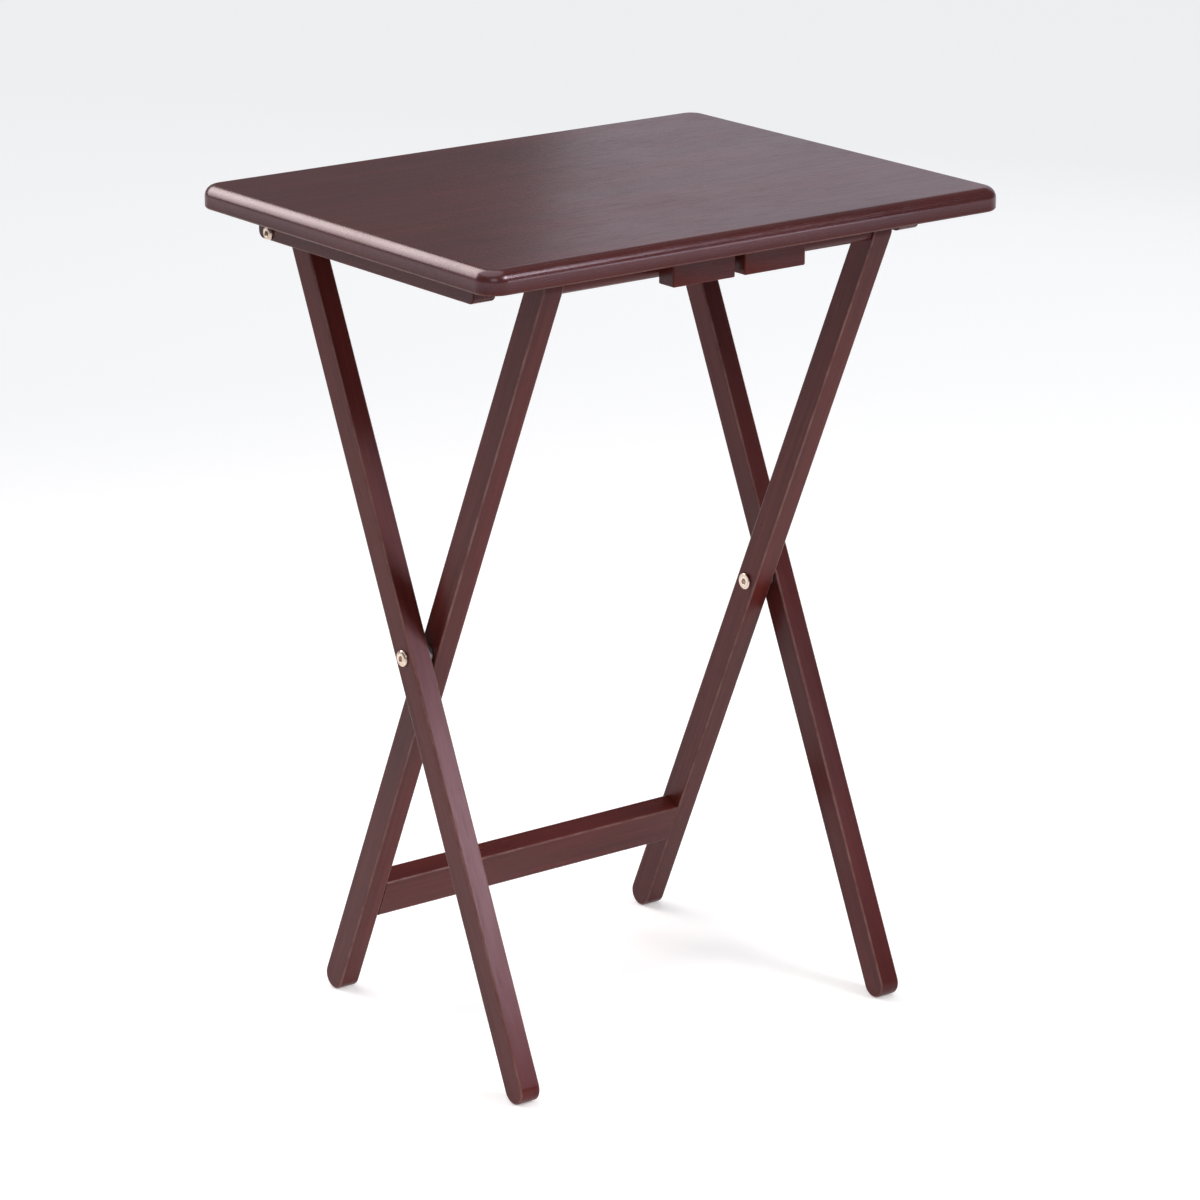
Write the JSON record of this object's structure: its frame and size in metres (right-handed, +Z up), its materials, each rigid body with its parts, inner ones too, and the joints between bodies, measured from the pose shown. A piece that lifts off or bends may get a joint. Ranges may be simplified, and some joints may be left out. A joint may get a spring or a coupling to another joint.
{
  "type": "folding tray table",
  "caption": "Small folding table: a rectangular wooden tray with rounded edges on two crossed pairs of legs that close like scissors.",
  "frame": {"origin": "on the floor under the centre of the tray", "axes": "+X along the tray's length to the right as seen from the front, where the catch blocks are; +Y to the back, where the tray is pivoted; +Z up"},
  "size_m": [0.483, 0.381, 0.66],
  "materials": {
    "tray_wood": "dark red-brown stain under semi-gloss lacquer",
    "leg_wood": "dark red-brown stain under satin lacquer",
    "bare_wood": "unfinished beech",
    "nickel": "bright warm nickel plating",
    "screw_steel": "zinc plated",
    "washer_steel": "zinc plated"
  },
  "bodies": {
    "outer_legs": {"left_outer_leg": "leg_wood", "right_outer_leg": "leg_wood", "left_leg_bolt": "nickel", "right_leg_bolt": "nickel", "left_leg_nut": "nickel", "right_leg_nut": "nickel", "left_leg_washer": "washer_steel", "right_leg_washer": "washer_steel"},
    "inner_legs": {"left_inner_leg": "leg_wood", "right_inner_leg": "leg_wood", "top_rail": "leg_wood", "stretcher": "leg_wood", "left_stretcher_dowels": "bare_wood", "right_stretcher_dowels": "bare_wood"},
    "tray_pins": {"left_tray_bolt": "nickel", "right_tray_bolt": "nickel", "left_tray_nut": "nickel", "right_tray_nut": "nickel", "left_tray_washer": "washer_steel", "right_tray_washer": "washer_steel"},
    "tray": {"tray_panel": "tray_wood", "left_cleat": "tray_wood", "right_cleat": "tray_wood", "left_cleat_screws": "screw_steel", "right_cleat_screws": "screw_steel", "left_catch_block": "tray_wood", "right_catch_block": "tray_wood", "left_block_screws": "screw_steel", "right_block_screws": "screw_steel"}
  },
  "joints": [
    {"name": "leg_fold", "type": "hinge", "parent": "outer_legs", "child": "inner_legs", "pos_m": [0, 0, 0.31875], "axis": [-1, 0, 0], "range_deg": [0, 48]},
    {"name": "tray_lift", "type": "hinge", "parent": "outer_legs", "child": "tray_pins", "pos_m": [0, 0.138, 0.6265], "axis": [-1, 0, 0], "range_deg": [0, 24]},
    {"name": "tray_swing", "type": "hinge", "parent": "tray_pins", "child": "tray", "pos_m": [0, 0.138, 0.6265], "axis": [-1, 0, 0], "range_deg": [0, 89]}
  ],
  "couplings": [
    {"joint": "tray_lift", "follows": "leg_fold", "ratio": 0.5}
  ]
}
